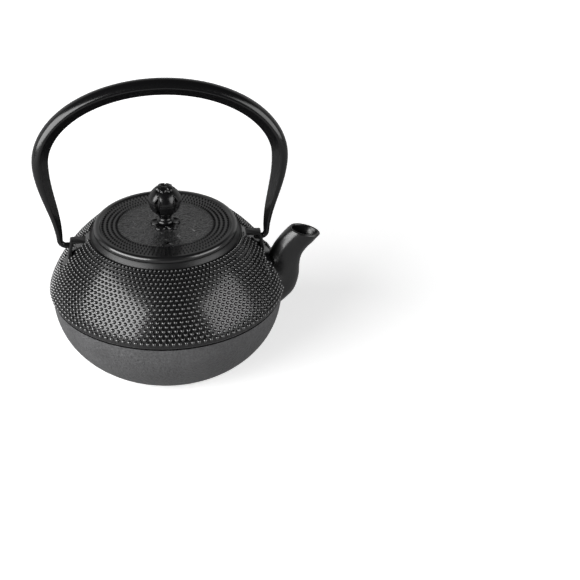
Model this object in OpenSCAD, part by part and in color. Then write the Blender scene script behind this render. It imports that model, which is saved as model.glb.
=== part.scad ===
// Cast iron teapot with a swinging bail handle, a lift-off lid with a bud
// knob and a stainless mesh infuser that hangs in the mouth.
// Millimetres. The origin is the middle of the foot, +Z is up and +X is
// the side of the spout. The bail stands upright in the plane of X and Z.

/* [Pot body] */
// Radius of the pot at its widest line
belly_r = 77; // [72:0.5:82]
// Height of the widest line above the table
belly_z = 52; // [50:0.5:56]
// Depth of the full curve of the bowl below the widest line
bowl_depth = 58.5; // [57:0.5:62]
// Fullness of the bowl, 2 is an ellipse and more is squarer
bowl_power = 2.2; // [2:0.05:2.5]
// Fullness of the dome, 1 is a cone and 2 is an ellipse
dome_power = 1.5; // [1.4:0.05:1.7]
// Thickness of the cast wall
wall_t = 3.4; // [2.8:0.1:4]
// Height of the raised edge that ends the dome above the bowl
edge_h = 1.1; // [0.6:0.1:2]
// How far the raised edge stands out past the bowl
edge_out = 0.8; // [0.4:0.1:1.2]

/* [Foot] */
// Radius of the flat foot
foot_r = 42; // [36:0.5:43]
// Height of the foot below the bowl
foot_h = 2; // [1.5:0.25:3]
// Thickness of the pot's floor
floor_t = 4.6; // [4:0.2:6]

/* [Mouth] */
// Height of the mouth's top face above the table
mouth_z = 96.6; // [95:0.2:97.6]
// Radius of the collar where it stands on the dome
collar_r = 48.6; // [48:0.1:50]
// How much narrower the collar is at its top
collar_draft = 1.3; // [0.6:0.1:1.6]
// Height of the collar's band
collar_h = 3.3; // [3:0.1:5]
// Width of the ledge on the dome round the collar's foot
collar_ledge = 1.2; // [0.6:0.1:2]
// Radius of the recess that holds the infuser's flange
recess_r = 42.6; // [42:0.1:43.4]
// Depth of that recess
recess_h = 1.8; // [1.4:0.1:2.4]
// Radius of the throat below the recess
throat_r = 39.4; // [39:0.1:40.2]

/* [Spout] */
// Thickness of the spout's wall
spout_wall = 2.5; // [2:0.1:3.2]
// How much thinner that wall is at the lip
lip_thin = 0.8; // [0:0.1:1]
// How much the mouth of the spout narrows towards its lip
lip_narrow = 0.06; // [0:0.02:0.3]

/* [Lugs] */
// How far each lug's outer top corner stands out from the dome
lug_out = 10; // [9.4:0.1:10.6]
// Height of the lug's roof above the widest line
lug_top = 38.9; // [38.4:0.1:39.4]
// Height of the lug's lower tip above the widest line
lug_tip = 21.5; // [20:0.5:23]
// How deep the lug's roof and its lower tip are cast into the dome
lug_bite = 2; // [1.2:0.1:2.4]
// Width of a lug along Y
lug_w = 7.6; // [7:0.2:10]
// Thickness of the lug's outer plate
lug_plate = 1.8; // [1.4:0.1:2.2]
// Thickness of the lug's roof
lug_roof = 1.4; // [1.2:0.1:1.6]

/* [Bail handle] */
// Height of the hinge line above the table
hinge_z = 86.8; // [86.4:0.1:86.9]
// Radius of the hooked pins
pin_r = 1.9; // [1.6:0.05:2]
// Gap around a pin in its cast lug hole
pin_gap = 0.6; // [0.5:0.05:0.7]
// How far the hook of each leg stands outside the lug's corner
hook_out = 5.1; // [5:0.1:5.6]
// Bend radius of the hooks
hook_bend = 4; // [3.6:0.1:4.6]
// Length of the pin beyond the bend, with its rounded end
pin_len = 4.5; // [3.8:0.1:4.6]
// How far the loose bail has slid away from the spout
bail_slip = 1.4; // [0:0.1:1.4]
// Half of the bail's width at its widest, to the middle of the bar
bail_w = 76.2; // [72:0.3:79.2]
// Height of the bail's widest place above the table
bail_z = 145.5; // [140:0.5:150]
// Rise of the arch above its widest place
bail_rise = 50.9; // [46:0.1:60]
// Half thickness of the bar in the plane of the bail
bar_a = 5.2; // [4.5:0.1:6]
// Half width of the bar across that plane
bar_b = 5.9; // [5:0.1:7]

/* [Lid] */
// Radius of the lid
lid_r = 46.8; // [46:0.1:48]
// Thickness of the lid at its raised rim
lid_t = 3.6; // [3.4:0.1:4.6]
// Depth of the field inside the raised rim
field_drop = 0.8; // [0.4:0.1:1.2]
// Radius of the field inside the raised rim
field_r = 43.2; // [40:0.2:44]
// Radius of the rounding of the lid's upper edge
lid_round = 2.2; // [1.5:0.1:2.6]
// Height of the skirt that centres the lid
skirt_h = 8; // [6:0.5:10]
// Wall of that skirt
skirt_t = 2; // [1.8:0.1:2.6]
// Radius of the vent hole
vent_r = 1.3; // [1:0.1:1.8]
// Distance of the vent hole from the middle
vent_y = 25.6; // [20:0.2:28]

/* [Knob] */
// Radius of the bud
bud_r = 10.5; // [9:0.1:12]
// Height of the bud's centre above the lid's field
bud_z = 17.2; // [15.6:0.1:19]
// Radius of the ring at the foot of the neck
neck_r = 5.4; // [4.8:0.1:6]
// Width of the slot between two petals of the bud
slot_w = 2.8; // [2:0.1:3.4]
// Depth of those slots
slot_d = 1.4; // [0.8:0.1:2]
// Radius of each bead of the blossom on top
bead_r = 1.9; // [1.5:0.1:2.2]
// Radius of each petal of the blossom plate under the knob
petal_r = 3.9; // [3.4:0.1:4.6]
// Distance of each petal's middle from the axis
petal_x = 6.3; // [6:0.1:7.2]
// Thickness of the blossom plate
plate_t = 1.2; // [0.8:0.1:2]
// Number of petals on the bud and the plate
petals = 5; // [4:1:6]
// How far the plate is turned from facing the front
plate_turn = 8; // [0:1:36]

/* [Stud] */
// Radius of the stud that holds the knob
stud_r = 2; // [1.6:0.1:2.4]
// Radius of the washer under the lid
washer_r = 5; // [4.4:0.1:6]
// Thickness of that washer
washer_t = 1.2; // [0.8:0.1:1.6]
// Radius of the peened head
head_r = 3.6; // [3:0.1:4]
// Height of the peened head
head_h = 1.6; // [1:0.1:2]

/* [Infuser] */
// Thickness of the pressed steel of the rim
steel_t = 0.6; // [0.4:0.1:0.8]
// Thickness of the mesh
mesh_t = 0.5; // [0.4:0.05:0.6]
// Depth of the whole basket
basket_h = 43; // [36:1:60]
// Height of the rim's tube
tube_h = 9; // [7:0.5:12]
// Height of the band round the basket's foot
band_h = 4; // [3:0.5:6]
// Width of the lip that holds the mesh floor
floor_lip = 4.5; // [3:0.5:6]

/* [Fits] */
// Gap round a loose piece that drops into another
loose_gap = 0.6; // [0.4:0.05:0.8]
// Gap between the lid's skirt and the mesh basket
skirt_gap = 1.6; // [1.4:0.1:2]
// Gap round the stud in its holes
stud_gap = 0.3; // [0.1:0.05:0.4]
// Gap round the stud inside the knob
seat_gap = 0.05; // [0.02:0.01:0.1]

/* [Hidden] */

iron = "#2b2b2d";
black = "#1b1b1d";
steel = "#b9bcc0";
round_fn = 96;
over = 1;

// Heights that several pieces share
seat_z = mouth_z - recess_h;
lid_top = mouth_z + lid_t;
field_z = lid_top - field_drop;
plate_z = field_z + plate_t;
bud_cz = field_z + bud_z;
collar_z = mouth_z - collar_h;
lip_z = seat_z - wall_t;

// Radii that follow from the fits
flange_r = recess_r - loose_gap;
tube_r = throat_r - loose_gap;
mesh_r = tube_r - steel_t;
skirt_r = mesh_r - mesh_t - skirt_gap;
stud_hole_r = stud_r + stud_gap;
lug_hole_r = pin_r + pin_gap;

// The dome's full curve runs from the widest line through the collar's foot
dome_rise = (collar_z - belly_z)
    / pow(1 - pow((collar_r + collar_ledge) / belly_r, dome_power), 1 / dome_power);

// Radius of the dome at a height above the widest line
function dome_r(h) = belly_r * pow(1 - pow(h / dome_rise, dome_power), 1 / dome_power);

// Where the lugs and the hooks stand
lug_x = dome_r(lug_top) + lug_out;
lug_tip_x = dome_r(lug_tip) - lug_bite;
hook_x = lug_x + hook_out;

// Points of a superellipse's quarter between two heights, from the widest
// radius at height 0. A negative reach runs downwards.
function rise_angle(h, reach, power) = asin(pow(h / reach, power / 2));
function super_arc(r, reach, power, h0, h1, steps, way) = [
    for (i = [0:steps])
        let (
            a = rise_angle(h0, reach, power),
            b = rise_angle(h1, reach, power),
            t = a + (b - a) * i / steps
        )
        [r * pow(cos(t), 2 / power), way * reach * pow(sin(t), 2 / power)]
];
function raise(points, z) = [for (p = points) [p.x, p.y + z]];

// One point of a smooth curve through a list of rows
function spline_row(rows, s) =
    let (
        n = len(rows) - 1,
        i = min(floor(s * n), n - 1),
        t = s * n - i,
        a = rows[max(i - 1, 0)],
        b = rows[i],
        c = rows[i + 1],
        d = rows[min(i + 2, n)]
    )
    0.5 * (2 * b + (c - a) * t + (2 * a - 5 * b + 4 * c - d) * t * t
        + (3 * b - a - 3 * c + d) * t * t * t);

// A closed skin over rings that all have the same number of points
module skin(rings) {
    n = len(rings[0]);
    last = len(rings) - 1;
    sides = [
        for (i = [0:last - 1])
            for (j = [0:n - 1])
                let (k = (j + 1) % n)
                each [
                    [i * n + j, (i + 1) * n + j, (i + 1) * n + k],
                    [i * n + j, (i + 1) * n + k, i * n + k]
                ]
    ];
    first_cap = [[for (j = [0:n - 1]) j]];
    last_cap = [[for (j = [n - 1:-1:0]) last * n + j]];
    polyhedron(
        points = [for (ring = rings) each ring],
        faces = concat(sides, first_cap, last_cap)
    );
}

// ---- Pot body and mouth ring ----

bowl_r = belly_r - edge_out;
foot_flare = 0.8;
edge_round = 0.4;
rim_chamfer = 0.5;

// The outside of the pot from its foot up to the height of the lip
module body_outline() {
    bowl = raise(super_arc(bowl_r, bowl_depth, bowl_power, belly_z - foot_h, 0.6, 16, -1), belly_z);
    dome = raise(super_arc(belly_r, dome_rise, dome_power, edge_h, lip_z - belly_z, 17, 1), belly_z);
    polygon(concat(
        [[0, 0], [foot_r, 0], [foot_r + foot_flare, foot_h]],
        bowl,
        [[belly_r - edge_out - edge_round, belly_z - edge_round / 2], [belly_r - edge_round / 2, belly_z],
            [belly_r, belly_z + edge_h / 2]],
        dome,
        [[0, lip_z]]
    ));
}

module cavity_outline() {
    inner_r = bowl_r - wall_t;
    bowl = raise(super_arc(inner_r, bowl_depth - wall_t, bowl_power, belly_z - floor_t, 0, 14, -1), belly_z);
    dome = raise(super_arc(inner_r, dome_rise - wall_t, dome_power, 1, lip_z - belly_z, 14, 1), belly_z);
    top_r = dome[len(dome) - 1].x;
    polygon(concat([[0, floor_t]], bowl, dome, [[top_r, lip_z + over], [0, lip_z + over]]));
}

// The last of the dome, the collar and the lip that carries the infuser
module mouth_outline() {
    dome = raise(super_arc(belly_r, dome_rise, dome_power, lip_z - belly_z, collar_z - belly_z, 3, 1),
        belly_z);
    top_r = collar_r - collar_draft;
    polygon(concat(
        [[throat_r, lip_z]],
        dome,
        [[collar_r, collar_z], [top_r, mouth_z - rim_chamfer], [top_r - rim_chamfer, mouth_z],
            [recess_r, mouth_z], [recess_r, seat_z], [throat_r, seat_z]]
    ));
}

// The spout's rows: upper edge, lower edge and half width across, with x
// from the middle of the pot and z from the widest line.
spout_rows = [
    [57, 19, 71, -19, 15.5],
    [66.5, 20.5, 78.6, -13, 13],
    [68.6, 23, 84.7, -6.5, 11],
    [70, 25.4, 87.9, 3.5, 9.5],
    [71.4, 28, 88.4, 12.5, 8.6],
    [73.3, 31, 89.7, 19.5, 8.1],
    [75.8, 34.2, 93, 25, 7.9],
    [78.8, 37.7, 97.6, 29.9, 8],
    [81.4, 40.5, 102, 35.4, 8.2]
];
spout_steps = 16;
spout_sides = 28;

// The rows lie aslant in the wall: how much longer a cut through it is
root_slant = 1.35;
lip_slant = 1.1;

// One ring of the spout. inset thins it for the bore and ahead moves it
// along the spout.
function spout_ring(s, inset, ahead) =
    let (
        row = spline_row(spout_rows, s),
        up = [row[0], row[1]],
        low = [row[2], row[3]],
        mid = (up + low) / 2,
        half = norm(low - up) / 2,
        way = (low - up) / (2 * half),
        a = half - inset * (root_slant + (lip_slant - root_slant) * s),
        b = row[4] - inset
    )
    [
        for (j = [0:spout_sides - 1])
            let (
                t = 360 * j / spout_sides,
                u = cos(t),
                p = mid + way * a * u + ahead * [-way.y, way.x]
            )
            [p.x, b * sin(t) * (1 - lip_narrow * pow(s, 3) * u), belly_z + p.y]
    ];

module spout_outside() {
    skin([for (i = [0:spout_steps]) spout_ring(i / spout_steps, 0, 0)]);
}

module spout_bore() {
    flare = 0.6;
    skin(concat(
        [
            for (i = [0:spout_steps])
                let (s = i / spout_steps)
                spout_ring(s, spout_wall - lip_thin * pow(s, 3), 0)
        ],
        [spout_ring(1, spout_wall - lip_thin - flare, 2)]
    ));
}

// A lug seen along Y: a roof that runs out from the dome and a plate that
// leans down to a tip, with a pocket open on both sides between them.
module lug_outline() {
    root = dome_r(lug_top) - lug_bite;
    difference() {
        polygon([[root, lug_top], [lug_x - 0.6, lug_top], [lug_x, lug_top - 0.6],
            [lug_tip_x, lug_tip], [root, lug_tip]]);
        lug_pocket(root - over);
    }
}

module lug_pocket(start) {
    roof = lug_top - lug_roof;
    inner_x = lug_x - lug_plate;
    slope = (lug_tip_x - lug_x) / (lug_top - lug_tip);
    foot_x = inner_x + slope * (roof - lug_tip);
    polygon([[start, roof], [inner_x - 0.8, roof], [inner_x, roof - 0.8],
        [foot_x, lug_tip - over], [start, lug_tip - over]]);
}

module lug() {
    translate([0, lug_w / 2, belly_z])
        rotate([90, 0, 0])
            linear_extrude(lug_w)
                lug_outline();
}

module pot_body() {
    color(iron)
        difference() {
            union() {
                rotate_extrude($fn = round_fn)
                    body_outline();
                spout_outside();
                lug();
                mirror([1, 0, 0])
                    lug();
            }
            rotate_extrude($fn = round_fn)
                cavity_outline();
            spout_bore();
            for (side = [-1, 1])
                translate([side * lug_x, 0, hinge_z])
                    rotate([0, 90, 0])
                        cylinder(h = 8, r = lug_hole_r, center = true, $fn = 32);
        }
}

module mouth_ring() {
    color(iron)
        rotate_extrude($fn = round_fn)
            mouth_outline();
}

// ---- Bail handle ----

leg_top = [bail_w, bail_z];
leg_foot = [hook_x, hinge_z + hook_bend];
leg_steps = 14;
arch_steps = 14;
bar_sides = 18;

function bezier(a, b, c, d, t) =
    pow(1 - t, 3) * a + 3 * t * pow(1 - t, 2) * b + 3 * t * t * (1 - t) * c + pow(t, 3) * d;
function leg_point(t) = bezier(leg_foot, leg_foot + [0.3, 20], leg_top - [0, 19.5], leg_top, t);
function arch_point(t) = [bail_w * cos(90 * t), bail_z + bail_rise * sin(90 * t)];

// How thick the bar is along a leg, from 0 at the hook to 1 at the widest
function leg_size(t, full) = full + (pin_r - full) * pow(1 - t, 1.3);

// The bar's section is egg-shaped, with its blunt side outwards. blunt is
// 0 at the hooks, where the bar is round, and 1 along the arch.
function bar_ring(p, way, a, b, blunt) =
    let (out = [way.y, -way.x])
    [
        for (j = [0:bar_sides - 1])
            let (
                t = 360 * j / bar_sides,
                q = p + out * a * cos(t)
            )
            [q.x, b * sin(t) * (1 + blunt * (0.24 * cos(t) - 0.06)), q.y]
    ];

function unit(v) = v / norm(v);
function leg_ring(t) = bar_ring(leg_point(t), unit(leg_point(min(t + 0.01, 1)) - leg_point(max(t - 0.01, 0))),
    leg_size(t, bar_a), leg_size(t, bar_b), min(1, 2 * t));
function arch_ring(t) = bar_ring(arch_point(t), unit([-bail_w * sin(90 * t), bail_rise * cos(90 * t)]),
    bar_a, bar_b, 1);
function mirror_ring(ring) = [for (p = ring) [-p.x, p.y, p.z]];

module bail_bar() {
    right = concat(
        [for (i = [0:leg_steps]) leg_ring(i / leg_steps)],
        [for (i = [1:arch_steps]) arch_ring(i / arch_steps)]
    );
    left = [for (i = [len(right) - 2:-1:0]) mirror_ring(right[i])];
    skin(concat(right, left));
}

module hook() {
    bend_x = hook_x - hook_bend;
    translate([bend_x, 0, hinge_z + hook_bend])
        rotate([90, 0, 0])
            rotate_extrude(angle = -90, $fn = 64)
                translate([hook_bend, 0])
                    circle(r = pin_r, $fn = 32);
    translate([bend_x - pin_len + pin_r, 0, hinge_z]) {
        rotate([0, 90, 0])
            cylinder(h = pin_len - pin_r, r = pin_r, $fn = 32);
        sphere(r = pin_r, $fn = 32);
    }
}

module bail_handle() {
    color(black)
        translate([-bail_slip, 0, 0])
            union() {
                bail_bar();
                hook();
                mirror([1, 0, 0])
                    hook();
            }
}

// ---- Lid, its knob and the stud that holds it ----

module lid_outline() {
    difference() {
        union() {
            translate([0, mouth_z])
                square([lid_r - lid_round, lid_t]);
            translate([lid_r - lid_round, lid_top - lid_round])
                circle(r = lid_round, $fn = 48);
            translate([0, mouth_z + 0.5])
                square([lid_r, lid_t - lid_round - 0.5]);
        }
        polygon([[0, field_z], [field_r - 0.8, field_z], [field_r, lid_top], [field_r, lid_top + over],
            [0, lid_top + over]]);
        translate([0, mouth_z - 2 * lid_round])
            square([lid_r, 2 * lid_round]);
    }
    translate([skirt_r - skirt_t, mouth_z - skirt_h])
        square([skirt_t, skirt_h + over]);
}

module lid() {
    color(iron)
        difference() {
            rotate_extrude($fn = round_fn)
                lid_outline();
            translate([0, 0, mouth_z - over])
                cylinder(h = lid_t + 2 * over, r = stud_hole_r, $fn = 32);
            translate([0, -vent_y, mouth_z - over])
                cylinder(h = lid_t + 2 * over, r = vent_r, $fn = 32);
        }
}

module knob_plate() {
    color(black)
        translate([0, 0, field_z])
            difference() {
                union() {
                    cylinder(h = plate_t, r = petal_x, $fn = 48);
                    for (i = [0:petals - 1])
                        rotate([0, 0, 360 * (i + 0.5) / petals - 90 + plate_turn])
                            translate([petal_x, 0, 0])
                                cylinder(h = plate_t, r = petal_r, $fn = 48);
                }
                translate([0, 0, -over])
                    cylinder(h = plate_t + 2 * over, r = stud_hole_r, $fn = 32);
            }
}

// The arched slot between two petals, cut into the bud from its side
module petal_slot() {
    slot_top = 0.5;
    slot_foot = 8.4;
    translate([bud_r - slot_d, 0, 0])
        rotate([90, 0, 90])
            linear_extrude(slot_d + over)
                union() {
                    translate([-slot_w / 2, -slot_foot])
                        square([slot_w, slot_top + slot_foot]);
                    translate([0, slot_top])
                        circle(d = slot_w, $fn = 32);
                }
}

// The neck's outline: a ring at its foot and a waist under the bud
module neck_outline() {
    waist_r = neck_r - 1.5;
    ring_h = 2.6;
    polygon([[0, 0], [neck_r - 0.3, 0], [neck_r, 0.6], [neck_r, ring_h - 0.8], [neck_r - 0.5, ring_h],
        [waist_r, ring_h + 0.8], [waist_r, ring_h + 1.6], [neck_r, bud_z - bud_r], [0, bud_z - bud_r + 2]]);
}

module lid_knob() {
    bead_ring = 3.4;
    stud_top = bud_cz;
    color(black)
        difference() {
            union() {
                translate([0, 0, plate_z])
                    rotate_extrude($fn = 64)
                        neck_outline();
                translate([0, 0, bud_cz])
                    sphere(r = bud_r, $fn = 64);
                for (i = [0:petals - 1])
                    rotate([0, 0, 360 * i / petals - 90])
                        translate([bead_ring, 0, bud_cz + bud_r - 1.6])
                            sphere(r = bead_r, $fn = 32);
            }
            for (i = [0:petals - 1])
                rotate([0, 0, 360 * i / petals - 104])
                    translate([0, 0, bud_cz])
                        petal_slot();
            translate([0, 0, plate_z - over])
                cylinder(h = stud_top - plate_z + over, r = stud_r + seat_gap, $fn = 32);
        }
}

module knob_stud() {
    shank_z = mouth_z - washer_t;
    color(steel)
        union() {
            translate([0, 0, shank_z])
                cylinder(h = bud_cz - shank_z - 1, r = stud_r, $fn = 32);
            translate([0, 0, shank_z - head_h])
                cylinder(h = head_h, r1 = head_r - 1, r2 = head_r, $fn = 32);
        }
}

module stud_washer() {
    color(steel)
        translate([0, 0, mouth_z - washer_t])
            difference() {
                cylinder(h = washer_t, r = washer_r, $fn = 48);
                translate([0, 0, -over])
                    cylinder(h = washer_t + 2 * over, r = stud_hole_r, $fn = 32);
            }
}

// ---- Infuser ----

basket_z = seat_z + steel_t - basket_h;

module ring(inner, outer, z, h) {
    translate([0, 0, z])
        rotate_extrude($fn = round_fn)
            translate([inner, 0])
                square([outer - inner, h]);
}

module infuser_rim() {
    color(steel)
        union() {
            ring(mesh_r, flange_r, seat_z, steel_t);
            ring(mesh_r, tube_r, seat_z + steel_t - tube_h, tube_h);
        }
}

module infuser_mesh() {
    foot_z = basket_z + steel_t;
    color(steel)
        ring(mesh_r - mesh_t, mesh_r, foot_z, seat_z - foot_z);
}

module infuser_band() {
    color(steel)
        union() {
            ring(mesh_r, tube_r, basket_z, band_h);
            ring(mesh_r - floor_lip, tube_r, basket_z, steel_t);
        }
}

module infuser_floor() {
    color(steel)
        translate([0, 0, basket_z + steel_t])
            cylinder(h = mesh_t, r = mesh_r - mesh_t, $fn = round_fn);
}

pot_body();
mouth_ring();
bail_handle();
lid();
knob_plate();
lid_knob();
knob_stud();
stud_washer();
infuser_rim();
infuser_mesh();
infuser_band();
infuser_floor();
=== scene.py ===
"""Cast iron teapot: the dressed model, built over the fixed frame of its solids."""

import math

import bmesh
import bpy
from mathutils import Matrix, Vector
from mathutils.bvhtree import BVHTree


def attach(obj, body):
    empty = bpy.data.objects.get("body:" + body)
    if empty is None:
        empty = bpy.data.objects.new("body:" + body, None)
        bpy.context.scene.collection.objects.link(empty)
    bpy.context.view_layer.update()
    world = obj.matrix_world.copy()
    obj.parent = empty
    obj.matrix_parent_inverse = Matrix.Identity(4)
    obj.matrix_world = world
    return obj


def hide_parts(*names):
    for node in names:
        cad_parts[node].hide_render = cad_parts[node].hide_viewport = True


bl_info = {
    "name": "Cast Iron Teapot",
    "version": (1, 0, 0),
    "blender": (4, 5, 0),
    "location": "3D View > Sidebar > Teapot",
    "description": "Builds a hobnail cast iron teapot with its bail, lid, bud knob and infuser",
    "category": "Add Mesh",
}

MM = 0.001
TURN = 2 * math.pi

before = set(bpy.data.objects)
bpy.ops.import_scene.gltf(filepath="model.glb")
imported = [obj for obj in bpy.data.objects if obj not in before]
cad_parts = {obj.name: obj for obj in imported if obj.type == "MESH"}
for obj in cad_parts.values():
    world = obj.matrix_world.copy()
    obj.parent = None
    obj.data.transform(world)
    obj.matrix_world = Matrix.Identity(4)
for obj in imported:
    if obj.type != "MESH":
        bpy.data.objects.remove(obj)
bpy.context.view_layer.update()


# ---- Sizes and colours ----


def length(name, description, default):
    """A size in metres, written here in millimetres."""
    return bpy.props.FloatProperty(
        name=name, description=description, default=default * MM, unit="LENGTH", precision=4
    )


def count(name, description, default):
    """A whole number."""
    return bpy.props.IntProperty(name=name, description=description, default=default)


def share_of(name, description, default):
    """A number without a unit."""
    return bpy.props.FloatProperty(name=name, description=description, default=default)


def angle(name, description, default):
    """An angle, written here in degrees."""
    return bpy.props.FloatProperty(
        name=name, description=description, default=math.radians(default), subtype="ANGLE"
    )


def colour(name, description, default):
    """A colour, written here as an sRGB hex value."""
    return bpy.props.FloatVectorProperty(
        name=name, description=description, default=linear(default)[:3], subtype="COLOR", min=0, max=1
    )


def linear(hex_code):
    """An sRGB hex colour such as #1d1d1f as linear RGBA."""
    parts = [int(hex_code[i:i + 2], 16) / 255 for i in (1, 3, 5)]
    return tuple(p / 12.92 if p <= 0.04045 else ((p + 0.055) / 1.055) ** 2.4 for p in parts) + (1.0,)


class PotSizes(bpy.types.PropertyGroup):
    """The cast pot."""

    belly_r: length("Belly radius", "Radius at the widest line", 77)
    belly_z: length("Belly height", "Height of the widest line", 52)
    bowl_depth: length("Bowl depth", "Depth of the bowl's full curve", 58.5)
    bowl_power: share_of("Bowl fullness", "2 is an ellipse", 2.2)
    dome_power: share_of("Dome fullness", "1 is a cone", 1.5)
    wall_t: length("Wall", "Thickness of the cast wall", 3.4)
    edge_h: length("Edge height", "Height of the raised edge above the bowl", 1.1)
    edge_out: length("Edge depth", "How far that edge stands out", 0.8)
    foot_r: length("Foot radius", "Radius of the flat foot", 42)
    foot_h: length("Foot height", "Height of the foot", 2)
    floor_t: length("Floor", "Thickness of the floor", 4.6)
    mouth_z: length("Mouth height", "Height of the mouth's top face", 96.6)
    collar_r: length("Collar radius", "Radius of the collar at its foot", 48.6)
    collar_draft: length("Collar draft", "How much narrower it is on top", 1.3)
    collar_h: length("Collar height", "Height of the collar's band", 3.3)
    collar_ledge: length("Collar ledge", "Ledge on the dome round its foot", 1.2)
    recess_r: length("Recess radius", "Radius of the seat for the infuser", 42.6)
    recess_h: length("Recess depth", "Depth of that seat", 1.8)
    throat_r: length("Throat radius", "Radius of the throat", 39.4)
    spout_wall: length("Spout wall", "Thickness of the spout's wall", 2.5)
    lip_thin: length("Lip thinning", "How much thinner the wall is at the lip", 0.8)
    lip_narrow: share_of("Lip", "How much the lip narrows", 0.06)
    lip_round: length("Lip rounding", "Radius of the lip's rounded edges", 0.9)
    lug_out: length("Lug reach", "How far the lug's corner stands out from the dome", 10)
    lug_top: length("Lug roof", "Height of the lug's roof over the belly", 38.9)
    lug_tip: length("Lug tip", "Height of the lug's tip over the belly", 21.5)
    lug_bite: length("Lug bite", "How deep the lug is cast into the dome", 2)
    lug_w: length("Lug width", "Width of a lug", 7.6)
    lug_plate: length("Lug plate", "Thickness of the lug's outer plate", 1.8)
    lug_roof: length("Lug roof thickness", "Thickness of the roof", 1.4)
    lug_hole_r: length("Lug hole", "Radius of the hole for the hook", 2.5)


class HobnailSizes(bpy.types.PropertyGroup):
    """The rows of small bumps on the dome."""

    per_row: count("Bumps in a row", "Same in each row", 120)
    rows: count("Rows", "Rows from belly to collar", 18)
    first: length("First row", "Distance of the first row from the widest line", 3.34)
    pitch: length("Row pitch", "Distance from row to row along the dome", 2.72)
    width: share_of("Bump width", "Share of the pitch", 0.37)
    height: length("Bump height", "Height of a bump", 1.75)


class BailSizes(bpy.types.PropertyGroup):
    """The arched handle."""

    hinge_z: length("Hinge height", "Height of the hinge line", 86.8)
    pin_r: length("Pin radius", "Radius of the hooked pins", 1.9)
    hook_out: length("Hook distance", "How far the hook stands outside the lug's corner", 5.1)
    hook_bend: length("Hook bend", "Bend radius of the hooks", 4)
    pin_len: length("Pin length", "Length of the pin past the bend", 4.5)
    slip: length("Slip", "How far the loose bail has slid from the spout", 1.4)
    width: length("Half width", "Half of the width at the widest", 76.2)
    wide_z: length("Height of the widest place", "Above the table", 145.5)
    rise: length("Rise", "Rise of the arch over its widest place", 50.9)
    bar_a: length("Bar depth", "Half thickness in the plane of the bail", 5.2)
    bar_b: length("Bar width", "Half width across that plane", 5.9)
    swing: angle("Swing", "How far it swings to either side", 122)
    play: length("Play", "Room left between the swung bail and the bumps", 0.2)


class LidSizes(bpy.types.PropertyGroup):
    """The lid's nubs, the blossom plate and the bud knob."""

    top_z: length("Lid top", "Height of the lid's rim", 100.2)
    field_drop: length("Field drop", "Depth of the field", 0.8)
    nub_r: length("Outer nub ring", "Radius of the outermost ring", 41)
    nub_step: length("Ring step", "Distance from ring to ring", 3)
    nub_rings: count("Nub rings", "Rings of nubs", 4)
    nubs: count("Nubs in a ring", "Same in each ring", 100)
    nub_h: length("Nub height", "Height of a nub", 0.75)
    plate_t: length("Plate", "Thickness of the blossom plate", 1.2)
    petal_r: length("Petal radius", "Radius of each petal", 3.9)
    petal_x: length("Petal distance", "Distance of a petal from the axis", 6.3)
    petals: count("Petals", "Petals of plate and bud", 5)
    plate_turn: angle("Plate turn", "Turn of the plate", 3)
    bud_r: length("Bud radius", "Radius of the bud", 10.5)
    bud_z: length("Bud height", "Height of its centre over the field", 17.2)
    neck_r: length("Neck radius", "Radius of the ring at the neck's foot", 5.4)
    slot_w: length("Slot width", "Width of the slot between petals", 4)
    slot_d: length("Slot depth", "Depth of that slot", 2)
    slot_turn: angle("Slot turn", "Where the first slot stands", -119.5)
    crown_turn: angle("Crown turn", "Where the small blossom on top begins", -102.5)
    lobe_r: length("Lobe distance", "Distance of that blossom's lobes from the axis", 3.9)
    dent_r: length("Dent distance", "Distance of the dents between them", 5.9)
    stud_r: length("Stud hole", "Radius of the stud's hole in the knob", 2.05)


class Finishes(bpy.types.PropertyGroup):
    """Colours of the finishes."""

    dome: colour("Dome", "Lacquered iron of the dome and the lid", "#0d0d0e")
    # The bowl's light grey is painted light, standing in for the white table's glow reflected on the bowl
    bowl: colour("Bowl", "Sand-cast iron of the bowl", "#5a5a5b")
    bail: colour("Bail", "Lacquer of the bail", "#0b0b0c")
    knob: colour("Knob", "Gloss lacquer of the knob, and lacquer of the spout", "#0b0b0c")
    lining: colour("Lining", "Enamel inside the pot, and the lid's dull nubs", "#0c0c0d")
    steel: colour("Steel", "Stainless steel of the infuser", "#c3c5c8")
    zinc: colour("Zinc", "Zinc plate of the stud", "#a9abae")


def sizes(name):
    """One group of sizes, as set in the sidebar."""
    return getattr(bpy.context.scene, "teapot_" + name)


# ---- Materials ----


def add_node(tree, kind, settings=None, inputs=None):
    """Adds a node with its settings, and sets or links its inputs by name or number."""
    made = tree.nodes.new(kind)
    for key, value in (settings or {}).items():
        setattr(made, key, value)
    for key, value in (inputs or {}).items():
        socket = made.inputs[key]
        if isinstance(value, bpy.types.NodeSocket):
            tree.links.new(value, socket)
        else:
            socket.default_value = value
    return made


def new_material(name, base, shader):
    """A material with its colour and surface shader set, and its node tree."""
    made = bpy.data.materials.new(name)
    made.use_nodes = True
    tree = made.node_tree
    surface = tree.nodes["Principled BSDF"]
    surface.inputs["Base Color"].default_value = shade(base, 1.0)
    for key, value in shader.items():
        surface.inputs[key].default_value = value
    return made, tree, surface


def object_place(tree):
    """Places on the piece, in metres."""
    return add_node(tree, "ShaderNodeTexCoord").outputs["Object"]


def ramp(tree, factor, low, high, dark=0.0, light=1.0):
    """Spreads the values between low and high over dark to light."""
    return add_node(tree, "ShaderNodeMapRange", {}, {
        "Value": factor, "From Min": low, "From Max": high, "To Min": dark, "To Max": light,
    }).outputs["Result"]


def maths(tree, operation, first, second=0.0):
    """The result of one sum on two values."""
    return add_node(tree, "ShaderNodeMath", {"operation": operation}, {0: first, 1: second}).outputs[0]


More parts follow.
